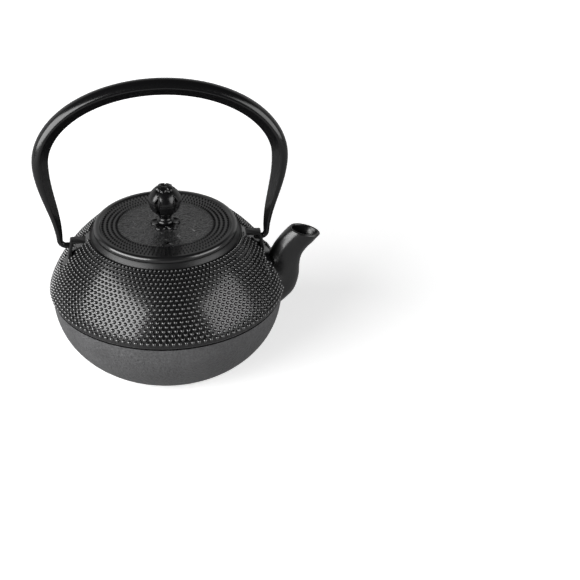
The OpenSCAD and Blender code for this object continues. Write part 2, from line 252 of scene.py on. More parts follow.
def noise(tree, place, size_mm, detail=2.0, roughness=0.5, distortion=0.0):
    """Cloudy values from 0 to 1 whose blots are about size_mm across."""
    return add_node(tree, "ShaderNodeTexNoise", {}, {
        "Vector": place, "Scale": 0.7 / (size_mm * MM), "Detail": detail, "Roughness": roughness,
        "Distortion": distortion,
    }).outputs["Fac"]


def bumped(tree, surface, height, depth_mm, under=None):
    """Raises the surface by up to depth_mm where height is 1."""
    inputs = {"Height": height, "Distance": depth_mm * MM, "Strength": 1.0}
    if under is not None:
        inputs["Normal"] = under
    made = add_node(tree, "ShaderNodeBump", {}, inputs)
    tree.links.new(made.outputs["Normal"], surface.inputs["Normal"])
    return made.outputs["Normal"]


def mixed(tree, factor, first, second):
    """A colour between two linear colours."""
    made = add_node(tree, "ShaderNodeMix", {"data_type": "RGBA"}, {0: factor})
    for number, value in ((6, first), (7, second)):
        made.inputs[number].default_value = value
    return made.outputs[2]


def shade(base, scale):
    """A colour made lighter or darker."""
    return tuple(c * scale for c in base[:3]) + (1.0,)


def lacquered_iron(name, base, roughness, coat, coat_roughness, grain_mm, depth_mm, shine=0.5):
    """Grey iron cast in sand under a stoved black lacquer: the iron's fine grain
    gives a broad sheen, and the lacquer over it small sharp highlights."""
    made, tree, surface = new_material(name, base, {
        "Roughness": roughness, "Specular IOR Level": shine * coat,
        "Coat Weight": coat, "Coat Roughness": coat_roughness, "Coat IOR": 1.5})
    place = object_place(tree)
    grain = noise(tree, place, grain_mm, 3.0, 0.6)
    patches = noise(tree, place, 14, 2.0)
    tone = mixed(tree, ramp(tree, patches, 0.3, 0.7), shade(base, 0.84), shade(base, 1.16))
    tree.links.new(tone, surface.inputs["Base Color"])
    tree.links.new(ramp(tree, grain, 0.3, 0.7, roughness - 0.06, roughness + 0.06), surface.inputs["Roughness"])
    bumped(tree, surface, grain, depth_mm)
    return made


def sand_cast_iron_painted_table_reflection(name, base, roughness, grain_mm, depth_mm):
    """Bare-looking iron cast in sand: a matt grain of pits with cloudy patches
    where the thin lacquer has soaked in. Its base colour, set far lighter than
    the dome's, is painted light: it stands in for the white table's glow
    reflected on the bowl."""
    made, tree, surface = new_material(name, base, {"Roughness": roughness})
    place = object_place(tree)
    grain = noise(tree, place, grain_mm, 3.0, 0.62)
    patches = noise(tree, place, 16, 2.0)
    specks = noise(tree, place, grain_mm * 0.6, 2.0, 0.6)
    tone = mixed(tree, ramp(tree, patches, 0.3, 0.7), shade(base, 0.88), shade(base, 1.12))
    spots = add_node(tree, "ShaderNodeMix", {"data_type": "RGBA", "blend_type": "MULTIPLY"}, {
        0: 0.7, 6: tone, 7: mixed(tree, ramp(tree, specks, 0.35, 0.65), shade((1, 1, 1), 0.45), (1, 1, 1, 1))})
    tree.links.new(spots.outputs[2], surface.inputs["Base Color"])
    tree.links.new(ramp(tree, specks, 0.3, 0.7, roughness - 0.08, roughness + 0.08), surface.inputs["Roughness"])
    bumped(tree, surface, grain, depth_mm)
    return made


def leathery_iron(name, base, roughness, reach_mm):
    """The lid: lacquered iron whose skin wrinkled like fine leather as it was
    cast, out to where the rings of nubs begin; its rim is smooth."""
    made, tree, surface = new_material(name, base, {
        "Roughness": roughness, "Coat Weight": 0.7, "Coat Roughness": 0.12, "Coat IOR": 1.5})
    place = object_place(tree)
    split = add_node(tree, "ShaderNodeSeparateXYZ", {}, {"Vector": place})
    flat = add_node(tree, "ShaderNodeCombineXYZ", {}, {0: split.outputs["X"], 1: split.outputs["Y"]})
    away = add_node(tree, "ShaderNodeVectorMath", {"operation": "LENGTH"}, {0: flat.outputs[0]}).outputs["Value"]
    inside = ramp(tree, away, (reach_mm + 1) * MM, (reach_mm - 1.5) * MM)
    wrinkles = noise(tree, place, 2.8, 2.0, 0.5, 1.4)
    grain = noise(tree, place, 0.7, 2.0, 0.6)
    height = maths(tree, "MULTIPLY", ramp(tree, wrinkles, 0.36, 0.62), inside)
    patches = noise(tree, place, 9, 2.0)
    tone = mixed(tree, ramp(tree, patches, 0.3, 0.7), shade(base, 0.85), shade(base, 1.15))
    tree.links.new(tone, surface.inputs["Base Color"])
    under = bumped(tree, surface, grain, 0.02)
    bumped(tree, surface, height, 1.1, under)
    return made


def stoved_lacquer(name, base, roughness, ripple_mm, depth_mm):
    """Smooth iron under a thick stoved black lacquer: long soft ripples bend
    its highlights, and specks of dust dull it a little."""
    made, tree, surface = new_material(name, base, {"Roughness": roughness})
    place = object_place(tree)
    ripples = noise(tree, place, ripple_mm, 1.0)
    specks = noise(tree, place, 0.8, 2.0, 0.6)
    tree.links.new(ramp(tree, specks, 0.35, 0.7, roughness * 0.85, roughness * 1.25),
                   surface.inputs["Roughness"])
    bumped(tree, surface, ripples, depth_mm)
    return made


def pressed_steel(name, base, roughness):
    """Thin stainless steel pressed to shape: faint draw lines run round it."""
    made, tree, surface = new_material(name, base, {"Roughness": roughness, "Metallic": 1.0})
    place = object_place(tree)
    stretched = add_node(tree, "ShaderNodeMapping", {}, {"Vector": place, "Scale": (1, 1, 9)})
    lines = noise(tree, stretched.outputs["Vector"], 3, 2.0)
    tree.links.new(ramp(tree, lines, 0.3, 0.7, roughness - 0.07, roughness + 0.07), surface.inputs["Roughness"])
    bumped(tree, surface, lines, 0.01)
    return made


def woven_steel(name, base, weave_mm, flat):
    """Fine stainless wire cloth. The real wires are a third of a millimetre
    apart; they are drawn coarser here so that they show. The wall is solid, and
    the openings between the wires are painted almost black: painted shade for
    the dark inside seen through them."""
    made, tree, surface = new_material(name, base, {"Roughness": 0.36, "Metallic": 1.0})
    place = object_place(tree)
    wall_r = 38
    split = add_node(tree, "ShaderNodeSeparateXYZ", {}, {"Vector": place})
    if flat:
        along, across = split.outputs["X"], split.outputs["Y"]
    else:
        turn = maths(tree, "ARCTAN2", split.outputs["Y"], split.outputs["X"])
        along = maths(tree, "MULTIPLY", turn, wall_r * MM)
        across = split.outputs["Z"]
    waves = []
    for run in (along, across):
        waves.append(maths(tree, "SINE", maths(tree, "MULTIPLY", run, TURN / (weave_mm * MM))))
    both = maths(tree, "MAXIMUM", *waves)
    # painted shade: the gaps between the wires are painted almost black in place of openings
    tone = mixed(tree, ramp(tree, both, -0.2, 0.6), shade(base, 0.06), shade(base, 0.9))
    tree.links.new(tone, surface.inputs["Base Color"])
    bumped(tree, surface, both, 0.12)
    return made


def make_materials():
    """All the finishes, by name."""
    tones = sizes("finishes")
    return {
        "dome": lacquered_iron("lacquered_cast_iron", tones.dome, 0.3, 0.75, 0.15, 0.8, 0.03),
        "nail": lacquered_iron("rubbed_lacquered_cast_iron", tones.dome, 0.14, 1.0, 0.05, 0.8, 0.005, 1.0),
        "rim": lacquered_iron("rough_lacquered_cast_iron", tones.dome, 0.45, 0.4, 0.36, 0.8, 0.04),
        "nub": lacquered_iron("dull_lacquered_cast_iron", tones.lining, 0.6, 0.12, 0.5, 0.8, 0.02),
        "spout": lacquered_iron("smooth_lacquered_cast_iron", tones.knob, 0.34, 0.75, 0.22, 1.6, 0.12),
        # bowl: light grey base colour as a painted reflection of the white table
        "bowl": sand_cast_iron_painted_table_reflection("sand_cast_iron_painted_table_reflection", tones.bowl, 0.5, 1.5, 1.1),
        "field": leathery_iron("wrinkled_cast_iron", tones.dome, 0.3, 31),
        "bail": stoved_lacquer("stoved_black_lacquer", tones.bail, 0.2, 12, 0.05),
        "knob": stoved_lacquer("gloss_black_lacquer", tones.knob, 0.22, 5, 0.02),
        "lining": stoved_lacquer("black_enamel_lining", tones.lining, 0.14, 9, 0.08),
        "steel": pressed_steel("pressed_stainless_steel", tones.steel, 0.28),
        "mesh_wall": woven_steel("woven_steel_wall", tones.steel, 0.9, False),
        "mesh_floor": woven_steel("woven_steel_floor", tones.steel, 0.9, True),
        "zinc": pressed_steel("zinc_plated_steel", tones.zinc, 0.4),
    }


MATERIALS = {}


def material(key):
    """A finish, made the first time that it is asked for."""
    if not MATERIALS:
        MATERIALS.update(make_materials())
    return MATERIALS[key]


# ---- Shaping ----


def arc_points(radius, reach, power, start, end, steps):
    """Points of a superellipse's quarter between two heights over its widest
    line; a negative reach runs downwards."""
    low = math.asin((start / abs(reach)) ** (power / 2))
    high = math.asin((end / abs(reach)) ** (power / 2))
    points = []
    for i in range(steps + 1):
        t = low + (high - low) * i / steps
        points.append((radius * math.cos(t) ** (2 / power), reach * math.sin(t) ** (2 / power)))
    return points


def raised(points, z):
    """Points moved up by z."""
    return [(x, y + z) for x, y in points]


def spun(bm, outline, steps):
    """Turns an outline of (radius, height) points round the Z axis."""
    verts = [bm.verts.new((r, 0, z)) for r, z in outline]
    edges = [bm.edges.new(pair) for pair in zip(verts, verts[1:])]
    bmesh.ops.spin(bm, geom=verts + edges, cent=(0, 0, 0), axis=(0, 0, 1), angle=TURN, steps=steps,
                   use_merge=True)
    bmesh.ops.remove_doubles(bm, verts=bm.verts, dist=1e-6)
    bmesh.ops.recalc_face_normals(bm, faces=bm.faces)


def copy_round(bm, copies):
    """Repeats all of a bmesh round the Z axis until there are that many."""
    bmesh.ops.spin(bm, geom=bm.verts[:] + bm.edges[:] + bm.faces[:], cent=(0, 0, 0), axis=(0, 0, 1),
                   angle=TURN * (copies - 1) / copies, steps=copies - 1, use_duplicate=True)


def take_over(bm, other):
    """Adds another bmesh to this one and frees it."""
    mesh = bpy.data.meshes.new("part")
    other.to_mesh(mesh)
    other.free()
    bm.from_mesh(mesh)
    bpy.data.meshes.remove(mesh)


def loft(bm, rings):
    """Bridges closed rings of points one after another and caps both ends."""
    loops = []
    for ring in rings:
        verts = bmesh.ops.create_circle(bm, segments=len(ring), radius=1)["verts"]
        for vert, point in zip(verts, ring):
            vert.co = point
        loops.append(verts)
    for first, second in zip(loops, loops[1:]):
        edges = [e for loop in (first, second) for e in {e for v in loop for e in v.link_edges}
                 if all(v in loop for v in e.verts)]
        bmesh.ops.bridge_loops(bm, edges=edges)
    for loop in (loops[0], loops[-1]):
        bmesh.ops.contextual_create(bm, geom=loop)
    bmesh.ops.recalc_face_normals(bm, faces=bm.faces)


def as_object(bm, name, finish=None, sharp=35.0):
    """Turns a bmesh into an object, smooth but for edges sharper than an angle."""
    mesh = bpy.data.meshes.new(name)
    bm.to_mesh(mesh)
    bm.free()
    finish_smooth(mesh, sharp)
    made = bpy.data.objects.new(name, mesh)
    bpy.context.scene.collection.objects.link(made)
    if finish:
        mesh.materials.append(material(finish))
    return made


def combine(target, others, operation):
    """Unites others with target, or cuts them out of it, and takes them away."""
    for other in others:
        cut = target.modifiers.new("cut", "BOOLEAN")
        cut.operation = operation
        cut.solver = "EXACT"
        cut.material_mode = "TRANSFER"
        cut.object = other
    bpy.context.view_layer.update()
    done = bpy.data.meshes.new_from_object(target.evaluated_get(bpy.context.evaluated_depsgraph_get()))
    target.modifiers.clear()
    target.data = done
    for other in others:
        bpy.data.objects.remove(other)


def finish_smooth(mesh, sharp=35.0):
    """Smooth shading but for edges sharper than an angle in degrees."""
    mesh.shade_smooth()
    mesh.set_sharp_from_angle(angle=math.radians(sharp))


def dress(node, key):
    """Gives a solid of the frame its finish."""
    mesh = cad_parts[node].data
    mesh.materials.clear()
    mesh.materials.append(material(key))


# ---- Pot ----


def dome_reach(pot):
    """Height of the dome's full curve, which passes through the collar's foot."""
    share = (pot.collar_r + pot.collar_ledge) / pot.belly_r
    return (pot.mouth_z - pot.collar_h - pot.belly_z) / (1 - share ** pot.dome_power) ** (1 / pot.dome_power)


def dome_r(pot, height):
    """Radius of the dome at a height above the widest line."""
    return pot.belly_r * (1 - (height / dome_reach(pot)) ** pot.dome_power) ** (1 / pot.dome_power)


def dome_points(pot, steps):
    """The dome's outline from its raised edge to the collar."""
    top = pot.mouth_z - pot.collar_h - pot.belly_z
    return raised(arc_points(pot.belly_r, dome_reach(pot), pot.dome_power, pot.edge_h, top, steps), pot.belly_z)


def pot_outline(pot):
    """The pot's outside: foot, bowl, raised edge, dome and collar."""
    bowl_r = pot.belly_r - pot.edge_out
    bowl = raised(arc_points(bowl_r, -pot.bowl_depth, pot.bowl_power, 1.5 * MM, pot.belly_z - pot.foot_h, 40),
                  pot.belly_z)[::-1]
    top_r = pot.collar_r - pot.collar_draft
    return (
        [(0, 0), (pot.foot_r, 0), (pot.foot_r + 0.8 * MM, pot.foot_h)] + bowl
        + [(bowl_r - 0.9 * MM, pot.belly_z - 1.2 * MM), (bowl_r - 0.9 * MM, pot.belly_z - 0.3 * MM),
           (pot.belly_r - 0.3 * MM, pot.belly_z),
           (pot.belly_r, pot.belly_z + pot.edge_h / 2)]
        + dome_points(pot, 50)
        + [(pot.collar_r, pot.mouth_z - pot.collar_h), (top_r, pot.mouth_z - 0.5 * MM),
           (top_r - 0.5 * MM, pot.mouth_z), (0, pot.mouth_z)]
    )


def cavity_outline(pot):
    """The pot's inside, up through the throat and the infuser's seat."""
    inner = pot.belly_r - pot.edge_out - pot.wall_t
    seat = pot.mouth_z - pot.recess_h
    shoulder = seat - pot.wall_t
    bowl = raised(arc_points(inner, -(pot.bowl_depth - pot.wall_t), pot.bowl_power, 0,
                             pot.belly_z - pot.floor_t, 30), pot.belly_z)[::-1]
    dome = raised(arc_points(inner, dome_reach(pot) - pot.wall_t, pot.dome_power, 1 * MM,
                             shoulder - pot.belly_z, 30), pot.belly_z)
    over = pot.mouth_z + 1 * MM
    return ([(0, pot.floor_t)] + bowl + dome
            + [(pot.throat_r, shoulder), (pot.throat_r, seat), (pot.recess_r, seat), (pot.recess_r, over),
               (0, over)])


# Upper edge, lower edge and half width of the spout, in millimetres from the
# pot's axis and from its widest line
SPOUT_ROWS = (
    (57, 19, 71, -19, 15.5),
    (66.5, 20.5, 78.6, -13, 13),
    (68.6, 23, 84.7, -6.5, 11),
    (70, 25.4, 87.9, 3.5, 9.5),
    (71.4, 28, 88.4, 12.5, 8.6),
    (73.3, 31, 89.7, 19.5, 8.1),
    (75.8, 34.2, 93, 25, 7.9),
    (78.8, 37.7, 97.6, 29.9, 8),
    (81.4, 40.5, 102, 35.4, 8.2),
)


def spout_row(s):
    """The spout's edges and width at a share of its length, smoothed."""
    last = len(SPOUT_ROWS) - 1
    i = min(int(s * last), last - 1)
    t = s * last - i
    a, b, c, d = (SPOUT_ROWS[k] for k in (max(i - 1, 0), i, i + 1, min(i + 2, last)))
    return [
        0.5 * MM * (2 * q + (r - p) * t + (2 * p - 5 * q + 4 * r - v) * t * t + (3 * q - p - 3 * r + v) * t ** 3)
        for p, q, r, v in zip(a, b, c, d)
    ]


def spout_ring(pot, s, inset, ahead, sides):
    """One ring of the spout, thinned by inset for its bore."""
    upper_x, upper_z, lower_x, lower_z, half_width = spout_row(s)
    upper, lower = Vector((upper_x, upper_z)), Vector((lower_x, lower_z))
    way = (lower - upper).normalized()
    along = Vector((-way.y, way.x))
    half = (lower - upper).length / 2 - inset * (1.35 - 0.25 * s)
    ring = []
    for j in range(sides):
        t = TURN * j / sides
        p = (upper + lower) / 2 + way * half * math.cos(t) + along * ahead
        across = (half_width - inset) * math.sin(t) * (1 - pot.lip_narrow * s ** 3 * math.cos(t))
        ring.append((p.x, across, pot.belly_z + p.y))
    return ring


def spout_outside(pot):
    """The spout's outside, rounded over at its lip."""
    sides, steps, turns = 48, 44, 5
    rings = [spout_ring(pot, i / steps, 0, -pot.lip_round * (i / steps) ** 8, sides) for i in range(steps + 1)]
    for i in range(1, turns + 1):
        t = math.pi / 2 * i / turns
        rings.append(spout_ring(pot, 1, pot.lip_round * (1 - math.cos(t)),
                                pot.lip_round * (math.sin(t) - 1), sides))
    bm = bmesh.new()
    loft(bm, rings)
    return as_object(bm, "spout", "spout")


def spout_bore(pot):
    """The spout's bore, which flares out to the rounded lip."""
    sides, steps, turns = 48, 44, 5
    rings = []
    for i in range(steps + 1):
        s = i / steps
        rings.append(spout_ring(pot, s, pot.spout_wall - pot.lip_thin * s ** 3, -1.6 * MM * s ** 8, sides))
    mouth = pot.spout_wall - pot.lip_thin
    for i in range(1, turns + 1):
        t = math.pi / 2 * i / turns
        rings.append(spout_ring(pot, 1, mouth - pot.lip_round * (1 - math.cos(t)),
                                pot.lip_round * (math.sin(t) - 1), sides))
    rings.append(spout_ring(pot, 1, mouth - pot.lip_round, 3 * MM, sides))
    bm = bmesh.new()
    loft(bm, rings)
    return as_object(bm, "bore", "spout")


def lug_x(pot):
    """Distance of a lug's outer top corner from the middle."""
    return dome_r(pot, pot.lug_top) + pot.lug_out


def lug_solid(pot, side):
    """A lug: a roof out from the dome, and a plate that leans down to a tip."""
    corner = lug_x(pot)
    tip = dome_r(pot, pot.lug_tip) - pot.lug_bite
    roof = pot.lug_top - pot.lug_roof
    inner = corner - pot.lug_plate
    foot = inner + (tip - corner) * (roof - pot.lug_tip) / (pot.lug_top - pot.lug_tip)
    root = dome_r(pot, pot.lug_top) - pot.lug_bite
    outline = [
        (root, pot.lug_top), (corner - 0.6 * MM, pot.lug_top), (corner, pot.lug_top - 0.6 * MM),
        (tip, pot.lug_tip), (foot, pot.lug_tip), (inner, roof - 0.8 * MM),
        (inner - 0.8 * MM, roof), (root, roof),
    ]
    bm = bmesh.new()
    verts = [bm.verts.new((side * x, -pot.lug_w / 2, pot.belly_z + z)) for x, z in outline]
    face = bm.faces.new(verts)
    grown = bmesh.ops.extrude_face_region(bm, geom=[face])["geom"]
    bmesh.ops.translate(bm, vec=(0, pot.lug_w, 0), verts=[g for g in grown if isinstance(g, bmesh.types.BMVert)])
    bmesh.ops.recalc_face_normals(bm, faces=bm.faces)
    bmesh.ops.bevel(bm, geom=bm.edges[:], offset=0.3 * MM, offset_type="OFFSET", segments=2, profile=0.5,
                    affect="EDGES", clamp_overlap=True, material=-1)
    return as_object(bm, "lug", "rim")


def hole_solid(x, z, radius):
    """A short bar along X that cuts a lug's hole."""
    bm = bmesh.new()
    turned = Matrix.Translation((x, 0, z)) @ Matrix.Rotation(math.pi / 2, 4, "Y")
    bmesh.ops.create_cone(bm, cap_ends=True, segments=40, radius1=radius, radius2=radius, depth=8 * MM,
                          matrix=turned)
    return as_object(bm, "hole", "dome")


class TEAPOT_OT_pot(bpy.types.Operator):
    """Casts the pot: bowl, dome, collar, spout and lugs in one piece"""

    bl_idname = "teapot.pot"
    bl_label = "Pot"

    def execute(self, context):
        pot = sizes("pot")
        bm = bmesh.new()
        spun(bm, pot_outline(pot), 192)
        shell = as_object(bm, "pot_shell", "dome")
        shell.data.materials.append(material("bowl"))
        shell.data.materials.append(material("rim"))
        edge = pot.belly_z - 1.4 * MM
        collar = pot.mouth_z - pot.collar_h - 0.1 * MM
        for face in shell.data.polygons:
            face.material_index = 2 if face.center.z > collar else int(face.center.z < edge)
        bm = bmesh.new()
        spun(bm, cavity_outline(pot), 144)
        cavity = as_object(bm, "cavity", "lining")
        combine(shell, [spout_outside(pot), lug_solid(pot, 1), lug_solid(pot, -1)], "UNION")
        hinge = sizes("bail").hinge_z
        combine(shell, [
            cavity, spout_bore(pot),
            hole_solid(lug_x(pot), hinge, pot.lug_hole_r), hole_solid(-lug_x(pot), hinge, pot.lug_hole_r),
        ], "DIFFERENCE")
        finish_smooth(shell.data)
        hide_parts("pot_body", "mouth_ring")
        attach(shell, "pot")
        return {"FINISHED"}


def dome_place(pot, distance):
    """A point of the dome at a distance along it from the widest line, and the
    outward slope there."""
    curve = raised(arc_points(pot.belly_r, dome_reach(pot), pot.dome_power, 0, pot.mouth_z - pot.belly_z, 400),
                   pot.belly_z)
    gone = 0.0
    for (r0, z0), (r1, z1) in zip(curve, curve[1:]):
        step = math.hypot(r1 - r0, z1 - z0)
        if gone + step >= distance:
            t = (distance - gone) / step
            return r0 + (r1 - r0) * t, z0 + (z1 - z0) * t, math.atan2(r0 - r1, z1 - z0)
        gone += step
    raise ValueError("the hobnail rows run past the dome")


def near_spout(pot, x, y, z):
    """Whether a point of the dome is under the spout's root."""
    height = (z - pot.belly_z) / MM
    if x < 0 or height > 25.5:
        return False
    share = max(0.0, min(1.0, (25.5 - height) / 28))
    half = (8.6 + 5.8 * math.sin(share * math.pi / 2) ** 0.8) * MM
    return abs(y) < half


def near_lug(pot, y, z):
    """Whether a point of the dome is under a lug."""
    return abs(y) < pot.lug_w / 2 + 1.3 * MM and z > pot.belly_z + pot.lug_tip - 1 * MM


def swung_bail(bail, turn):
    """A search tree of the bail's bar at an angle of its swing."""
    bm = bmesh.new()
    loft(bm, bail_rings(bail, 24))
    bmesh.ops.translate(bm, vec=(-bail.slip, 0, 0), verts=bm.verts)
    bmesh.ops.rotate(bm, cent=(0, 0, bail.hinge_z), matrix=Matrix.Rotation(turn, 3, "X"), verts=bm.verts)
    tree = BVHTree.FromBMesh(bm)
    bm.free()
    return tree


def make_room(bm, r, z, slope, height, trees, play):
    """Lowers the bumps of a row where the bail would cut into them at the ends
    of its swing, so that play is left between them."""
    for vert in bm.verts:
        x, y, level = vert.co
        if abs(y) > abs(x):
            continue
        rho = math.hypot(x, y)
        out = Vector((x / rho * math.cos(slope), y / rho * math.cos(slope), math.sin(slope)))
        tall = (rho - r) * math.cos(slope) + (level - z) * math.sin(slope)
        if tall <= 0:
            continue
        foot = vert.co - out * tall
        hits = [tree.ray_cast(foot, out, height + play)[3] for tree in trees]
        room = min([hit for hit in hits if hit is not None], default=height + play)
        vert.co = foot + out * tall * max(0.0, room - play) / height


class TEAPOT_OT_hobnails(bpy.types.Operator):
    """Sets the staggered rows of hobnails round the dome"""

    bl_idname = "teapot.hobnails"
    bl_label = "Hobnails"

    def execute(self, context):
        pot, nails, bail = sizes("pot"), sizes("hobnails"), sizes("bail")
        trees = [swung_bail(bail, bail.swing), swung_bail(bail, -bail.swing)]
        bm = bmesh.new()
        for row in range(nails.rows):
            r, z, slope = dome_place(pot, nails.first + row * nails.pitch)
            wide = TURN * r / nails.per_row * nails.width
            start = TURN / nails.per_row * (row % 2) / 2
            place = (Matrix.Rotation(start, 4, "Z") @ Matrix.Translation((r, 0, z))
                     @ Matrix.Rotation(math.pi / 2 - slope, 4, "Y"))
            line = bmesh.new()
            bmesh.ops.create_uvsphere(line, u_segments=10, v_segments=10, radius=1)
            low = [v for v in line.verts if v.co.z < -0.1]
            bmesh.ops.delete(line, geom=low, context="VERTS")
            for vert in line.verts:
                vert.co.z = 0.94 - math.hypot(vert.co.x, vert.co.y) ** 3.8
            bmesh.ops.scale(line, vec=(wide, wide, nails.height), verts=line.verts)
            bmesh.ops.transform(line, matrix=place, verts=line.verts)
            copy_round(line, nails.per_row)
            gone = [v for v in line.verts if near_spout(pot, *v.co) or near_lug(pot, v.co.y, v.co.z)]
            islands = {w for v in gone for w in island(v)}
            bmesh.ops.delete(line, geom=list(islands), context="VERTS")
            make_room(line, r, z, slope, nails.height, trees, bail.play)
            take_over(bm, line)
        bmesh.ops.recalc_face_normals(bm, faces=bm.faces)
        nubs = as_object(bm, "hobnails", "nail", 80)
        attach(nubs, "pot")
        return {"FINISHED"}


def island(vert):
    """All the points that are joined to a point."""
    found, ahead = {vert}, [vert]
    while ahead:
        for edge in ahead.pop().link_edges:
            for other in edge.verts:
                if other not in found:
                    found.add(other)
                    ahead.append(other)
    return found


# ---- Bail ----


def bezier(a, b, c, d, t):
    """A point of a cubic curve."""
    return (1 - t) ** 3 * a + 3 * t * (1 - t) ** 2 * b + 3 * t * t * (1 - t) * c + t ** 3 * d


def bail_path(bail):
    """Middle points of the bar from the right pin's end to the crown, with its
    half thicknesses and how much it is shaped: 0 is round."""
    hook_x = lug_x(sizes("pot")) + bail.hook_out
    foot = Vector((hook_x, bail.hinge_z + bail.hook_bend))
    top = Vector((bail.width, bail.wide_z))
    bend = Vector((hook_x - bail.hook_bend, bail.hinge_z))
    path = []
    for i in range(7):
        t = math.pi / 2 * (i + 0.3) / 6.3
        out = bail.pin_len - bail.pin_r + bail.pin_r * math.cos(t)
        path.append((bend - Vector((out, 0)), bail.pin_r * math.sin(t), bail.pin_r * math.sin(t), 0))
    for i in range(1, 13):
        t = math.pi / 2 * i / 13
        path.append((bend + Vector((bail.hook_bend * math.sin(t), bail.hook_bend * (1 - math.cos(t)))),
                     bail.pin_r, bail.pin_r, 0))
    for i in range(49):
        t = i / 48
        share = 1 - (1 - t) ** 1.3
        path.append((bezier(foot, foot + Vector((0.3, 20)) * MM, top - Vector((0, 19.5)) * MM, top, t),
                     bail.pin_r + (bail.bar_a - bail.pin_r) * share,
                     bail.pin_r + (bail.bar_b - bail.pin_r) * share, min(1, 2.5 * t)))
    for i in range(1, 49):
        t = math.pi / 2 * i / 48
        path.append((Vector((bail.width * math.cos(t), bail.wide_z + bail.rise * math.sin(t))),
                     bail.bar_a, bail.bar_b, 1))
    return path


def bar_section(sides):
    """The forged bar's section as (outwards, across) shares of its half
    thicknesses: a round back, flat cheeks that close in and a narrow inner
    edge."""
    shoulder, waist, nose = 0.12, 0.42, 0.2
    corners = []
    for i in range(9):
        t = math.pi / 2 * i / 8
        corners.append(Vector((shoulder + (1 - shoulder) * math.cos(t), math.sin(t))))
    for i in range(7):
        t = math.pi / 2 * i / 6
        corners.append(Vector((-1 + nose - nose * math.sin(t), waist - nose + nose * math.cos(t))))
    corners.append(Vector((-1, 0)))
    run = [0.0]
    for a, b in zip(corners, corners[1:]):
        run.append(run[-1] + (b - a).length)
    half = []
    for j in range(sides // 2 + 1):
        want = run[-1] * j / (sides // 2)
        k = max(i for i in range(len(run) - 1) if run[i] <= want + 1e-9)
        half.append(corners[k].lerp(corners[k + 1], (want - run[k]) / (run[k + 1] - run[k])))
    return half + [Vector((p.x, -p.y)) for p in half[-2:0:-1]]


def bail_rings(bail, sides):
    """The bar's rings from one pin to the other."""
    path = bail_path(bail)
    shaped = bar_section(sides)
    half = []
    for i, (p, a, b, blend) in enumerate(path):
        before = path[max(i - 1, 0)][0]
        after = path[i + 1][0] if i + 1 < len(path) else Vector((-path[i - 1][0].x, path[i - 1][0].y))
        way = (after - before).normalized()
        out = Vector((way.y, -way.x))
        ring = []
        for j in range(sides):
            t = TURN * j / sides
            spot = Vector((math.cos(t), math.sin(t))).lerp(shaped[j], blend)
            q = p + out * a * spot.x
            ring.append(Vector((q.x, b * spot.y, q.y)))
        half.append(ring)
    return half + [[Vector((-p.x, p.y, p.z)) for p in ring] for ring in half[-2::-1]]


class TEAPOT_OT_bail(bpy.types.Operator):
    """Draws the arched bail with its two hooked pins"""

    bl_idname = "teapot.bail"
    bl_label = "Bail"

    def execute(self, context):
        bail = sizes("bail")
        bm = bmesh.new()
        loft(bm, bail_rings(bail, 48))
        bmesh.ops.translate(bm, vec=(-bail.slip, 0, 0), verts=bm.verts)
        bar = as_object(bm, "bail_bar", "bail", 40)
        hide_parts("bail_handle")
        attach(bar, "bail")
        return {"FINISHED"}


# ---- Lid and knob ----


class TEAPOT_OT_lid(bpy.types.Operator):
    """Finishes the lid and sets its rings of radial nubs"""

    bl_idname = "teapot.lid"
    bl_label = "Lid"

    def execute(self, context):
        lid = sizes("lid")
        field = lid.top_z - lid.field_drop
        dress("lid", "field")
        bm = bmesh.new()
        for ring in range(lid.nub_rings):
            r = lid.nub_r - ring * lid.nub_step
            wide = TURN * r / lid.nubs * 0.2
            line = bmesh.new()
            bmesh.ops.create_uvsphere(line, u_segments=8, v_segments=6, radius=1)
            bmesh.ops.delete(line, geom=[v for v in line.verts if v.co.z < -0.1], context="VERTS")
            bmesh.ops.scale(line, vec=(lid.nub_step * 0.3, wide, lid.nub_h), verts=line.verts)
            bmesh.ops.translate(line, vec=(r, 0, field), verts=line.verts)
            copy_round(line, lid.nubs)
            take_over(bm, line)
        nubs = as_object(bm, "lid_nubs", "nub", 80)
        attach(nubs, "lid")
        return {"FINISHED"}


def smooth_step(low, high, value):
    """0 below low, 1 above high and a soft rise between."""
    t = max(0.0, min(1.0, (value - low) / (high - low)))
    return t * t * (3 - 2 * t)


